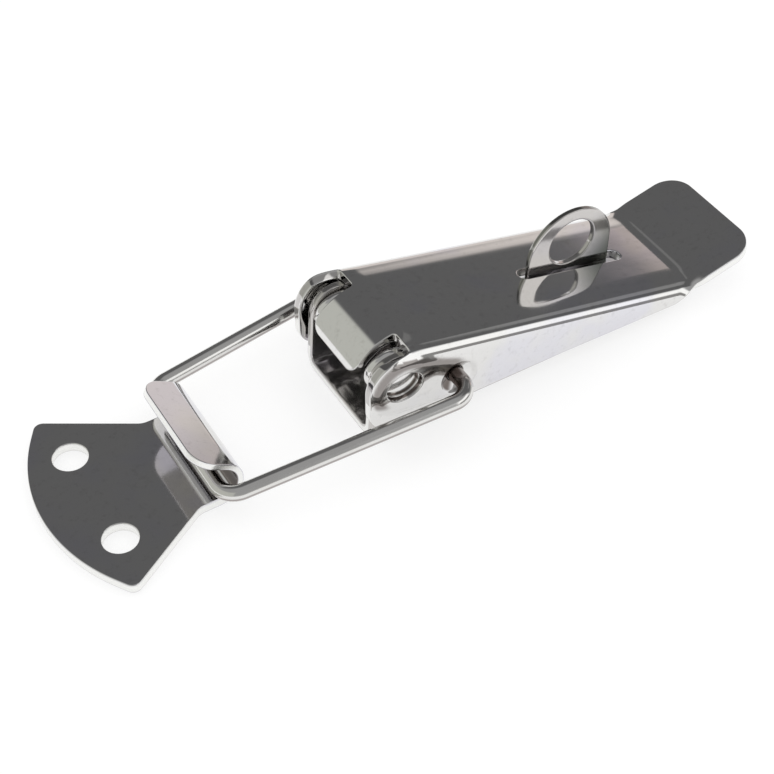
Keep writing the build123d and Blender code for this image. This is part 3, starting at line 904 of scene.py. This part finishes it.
def polishedSheet(name, steel, shadeColour, metallic):
    # Rolled and polished sheet: faint bluish blotches, specks and smudges, bright where
    # the attribute sheared is above 0, with painted shade where it is below.
    material, tree = newMaterial(name)
    place = addNode(tree, "ShaderNodeTexCoord", None, 3)
    blotch = noise(tree, place, polish["blotchScale"], 3.0, 0.6).ramp(*polish["blotchEdge"])
    speck = noise(tree, place, polish["speckScale"], 4.0, 0.7).ramp(*polish["speckEdge"])
    smudge = noise(tree, place, polish["smudgeScale"], 4.0, 0.6)
    stretched = addNode(tree, "ShaderNodeMapping", Vector=place, Scale=polish["grainStretch"])
    grain = noise(tree, stretched, 1.0, 3.0)
    wave = noise(tree, place, polish["waveScale"], 1.0)
    mark = addNode(tree, "ShaderNodeAttribute", {"attribute_name": "sheared"}, 2)
    sheared, stainAndShade = mark.atLeast(0.0), (0 - mark).atLeast(0.0)
    cooler = tuple(c * k for c, k in zip(steel, polish["cool"]))
    colour = mixColour(tree, blotch * polish["blotch"], steel, cooler)
    stain = polish["speck"] * speck + polish["smudgeStain"] * smudge
    colour = mixColour(tree, stain, colour, polish["stainAndShade"])
    colour = mixColour(tree, sheared, colour, polish["sheared"])
    # painted shade where sheared is below 0
    colour = mixColour(tree, stainAndShade, colour, shadeColour)
    rough = polish["roughness"] + smudge * polish["smudge"] + sheared * polish["shearedRough"]
    bump = addNode(tree, "ShaderNodeBump", Strength=polish["bumpStrength"],
                   Distance=polish["bumpHeight"], Height=wave + grain * polish["grain"])
    shader = addNode(tree, "ShaderNodeBsdfPrincipled", Base_Color=colour, Metallic=metallic,
                     Roughness=rough, Normal=bump)
    addNode(tree, "ShaderNodeOutputMaterial", Surface=shader)
    return material


wirePolish = {
    # the dark colour is for the painted shade and the painted dark reflection on the wire
    "steel": ((0.70, 0.69, 0.67), (0.78, 0.775, 0.765)), "paintedShade": (0.25, 0.215, 0.205),
    "smudgeScale": 220.0, "roughness": 0.10, "smudge": 0.1,
    "grainStretch": (150.0, 900.0, 900.0), "bumpStrength": 0.3, "bumpHeight": 0.00002,
}


def brightWire():
    # Drawn wire: a fine grain and smudges, painted shade and a painted dark reflection where the
    # attribute sheared is below 0.
    material, tree = newMaterial("brightWire")
    place = addNode(tree, "ShaderNodeTexCoord", None, 3)
    stretched = addNode(tree, "ShaderNodeMapping", Vector=place, Scale=wirePolish["grainStretch"])
    grain = noise(tree, stretched, 1.0, 3.0)
    smudge = noise(tree, place, wirePolish["smudgeScale"], 4.0)
    mark = addNode(tree, "ShaderNodeAttribute", {"attribute_name": "sheared"}, 2)
    paintedShade = (0 - mark).atLeast(0.0)
    colour = mixColour(tree, smudge, *wirePolish["steel"])
    colour = mixColour(tree, paintedShade, colour, wirePolish["paintedShade"])
    bump = addNode(tree, "ShaderNodeBump", Strength=wirePolish["bumpStrength"],
                   Distance=wirePolish["bumpHeight"], Height=grain)
    rough = wirePolish["roughness"] + smudge * wirePolish["smudge"]
    shader = addNode(tree, "ShaderNodeBsdfPrincipled", Base_Color=colour, Metallic=1.0,
                     Roughness=rough, Normal=bump)
    addNode(tree, "ShaderNodeOutputMaterial", Surface=shader)
    return material


view = {
    "azimuth": -31.07, "elevation": 45.95, "place": (-0.09549, -0.14123, 0.16869),
    "lens": 73.58, "sensor": 36.0, "near": 0.01,
}


def makeCamera():
    # Looks along the view's azimuth (0 looks along +Y) and down by its elevation.
    camera = bpy.data.cameras.new("camera")
    camera.lens, camera.sensor_width = view["lens"], view["sensor"]
    camera.clip_start = view["near"]
    eye = bpy.data.objects.new("camera", camera)
    bpy.context.scene.collection.objects.link(eye)
    az, el = radians(view["azimuth"]), radians(view["elevation"])
    back = Vector((sin(az) * cos(el), -cos(az) * cos(el), sin(el)))
    turn = back.to_track_quat("Z", "Y").to_matrix().to_4x4()
    eye.matrix_world = Matrix.Translation(view["place"]) @ turn
    bpy.context.scene.camera = eye


floorSettings = {
    "size": 20.0, "drop": 0.0002, "glow": 0.70, "underGlow": 0.12, "seenAlbedo": 0.36,
    "albedo": 0.85, "footprint": (-0.0176, 0.0335, 0.0079), "footprintSoft": 0.001,
}


def makeFloor():
    # Pale floor: it glows for whatever sees it directly, less inside the footprint under the
    # bracket as a painted shadow, and only scatters for the rest, so the shadow stays.
    mesh = bpy.data.meshes.new("floor")
    h = floorSettings["size"] / 2
    mesh.from_pydata([(-h, -h, 0), (h, -h, 0), (h, h, 0), (-h, h, 0)], [], [(0, 1, 2, 3)])
    floor = bpy.data.objects.new("floor", mesh)
    floor.location.z = -floorSettings["drop"]
    bpy.context.scene.collection.objects.link(floor)
    material, tree = newMaterial("paleFloor")
    path = addNode(tree, "ShaderNodeLightPath")
    camera, glossy, through = (path.other(name) for name in
                               ("Is Camera Ray", "Is Glossy Ray", "Is Transmission Ray"))
    seenDirectly = (camera + glossy + through).atMost(1.0)
    place = addNode(tree, "ShaderNodeTexCoord", None, 3)
    x = addNode(tree, "ShaderNodeSeparateXYZ", Vector=place)
    across = x.maths("ABSOLUTE", x.other(1))
    front, rear, half = floorSettings["footprint"]
    soft = floorSettings["footprintSoft"]
    under = x.ramp(front - soft, front) * (1 - x.ramp(rear, rear + soft))
    under = under * (1 - across.ramp(half, half + soft))
    strength = (1 - under) * floorSettings["glow"] + under * floorSettings["underGlow"]
    glow = addNode(tree, "ShaderNodeEmission", Color=(1, 1, 1, 1), Strength=strength)
    seen, other = (addNode(tree, "ShaderNodeBsdfDiffuse", Color=(floorSettings[name],) * 3 + (1,))
                   for name in ("seenAlbedo", "albedo"))
    both = addNode(tree, "ShaderNodeAddShader", **{"0": glow, "1": seen})
    shader = addNode(tree, "ShaderNodeMixShader", **{"0": seenDirectly, "1": other, "2": both})
    addNode(tree, "ShaderNodeOutputMaterial", Surface=shader)
    mesh.materials.append(material)


# Each panel of the light tent: (azimuth from, to, softness, elevation from, softness, to,
# softness, colour). Azimuth turns from +Y towards +X.
tent = {
    "overhead": (0.37, 0.37, 0.37),
    "panels": [
        (-180, 180, 0.1, -90, 1, 8, 8, (0.60, 0.60, 0.58)),
        (-31, 108, 7, 21.3, 0.6, 66, 12, (0.125, 0.125, 0.127)),
        (-25, 27, 5, -4, 3, 30, 6, (0.13, 0.13, 0.13)),
        (50.5, 80, 3, -90, 1, 21.4, 0.6, (0.60, 0.52, 0.50)),
        (20, 50.5, 3, 8, 2, 24, 2, (0.125, 0.125, 0.127)),
        (27, 50.5, 3, -90, 1, 18.6, 8.0, (0.78, 0.72, 0.69)),
        (-140, -30, 7, -90, 1, 52, 12, (0.57, 0.575, 0.535)),
        (111, 166, 10, 11, 6, 42, 8, (1.22, 1.22, 1.21)),
        (37.8, 51, 1, 40.5, 1.5, 46, 2, (0.20, 0.20, 0.20)),
        (115, 160, 6, -6, 3, 18, 4, (0.30, 0.295, 0.29)),
        (64, 86, 5, 30, 4, 42, 5, (0.27, 0.27, 0.27)),
    ],
}


def makeWorld():
    # A light tent: bright sides, a dark card above and behind, even light for anything dull.
    world = bpy.data.worlds.new("tent")
    bpy.context.scene.world = world
    world.use_nodes = True
    tree = world.node_tree
    tree.nodes.clear()
    place = addNode(tree, "ShaderNodeTexCoord")
    x = addNode(tree, "ShaderNodeSeparateXYZ", Vector=place)
    y, z = x.other(1), x.other(2)
    azimuth = x.maths("ARCTAN2", x, y) * (180 / pi)
    elevation = z.maths("ARCSINE", z) * (180 / pi)
    tone = tent["overhead"]
    for left, right, soft, low, lowSoft, high, highSoft, colour in tent["panels"]:
        mask = elevation.ramp(low - lowSoft / 2, low + lowSoft / 2)
        mask = mask * (1 - elevation.ramp(high - highSoft / 2, high + highSoft / 2))
        if right - left < 360:    # a panel all the way round has no sides
            mask = mask * azimuth.ramp(left - soft / 2, left + soft / 2)
            mask = mask * (1 - azimuth.ramp(right - soft / 2, right + soft / 2))
        tone = mixColour(tree, mask, tone, colour)
    diffuse = addNode(tree, "ShaderNodeLightPath").other("Is Diffuse Ray")
    colour = mixColour(tree, diffuse, tone, (1, 1, 1))
    glow = addNode(tree, "ShaderNodeBackground", Color=colour, Strength=1.0)
    addNode(tree, "ShaderNodeOutputWorld", Surface=glow)


makeCamera()
makeWorld()
makeFloor()
print("camera, tent and floor set")
sheetFinish = polishedSheet("polishedSheet", polish["steel"], polish["stainAndShade"], 1.0)
bracketFinish = polishedSheet("bracketSheet", polish["bracket"], polish["bracketShade"], 0.93)
wireFinish = brightWire()
print("finishes made")
pieces = [(makeLever(), "lever", "lever", sheetFinish, "polished_sheet"),
          (makeBase(), "base", "base_bracket", bracketFinish, "polished_sheet"),
          (makeCatch(), "catch", "catch_plate", sheetFinish, "polished_sheet"),
          (makeBail(), "bail", "wire_bail", wireFinish, "bright_wire")]
for piece, body, node, material, slotName in pieces:
    piece.data.materials.append(material)
    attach(piece, body)
    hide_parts(node)
    print(piece.name, "stands for", node)

scene = bpy.context.scene
scene.view_settings.view_transform = "Standard"
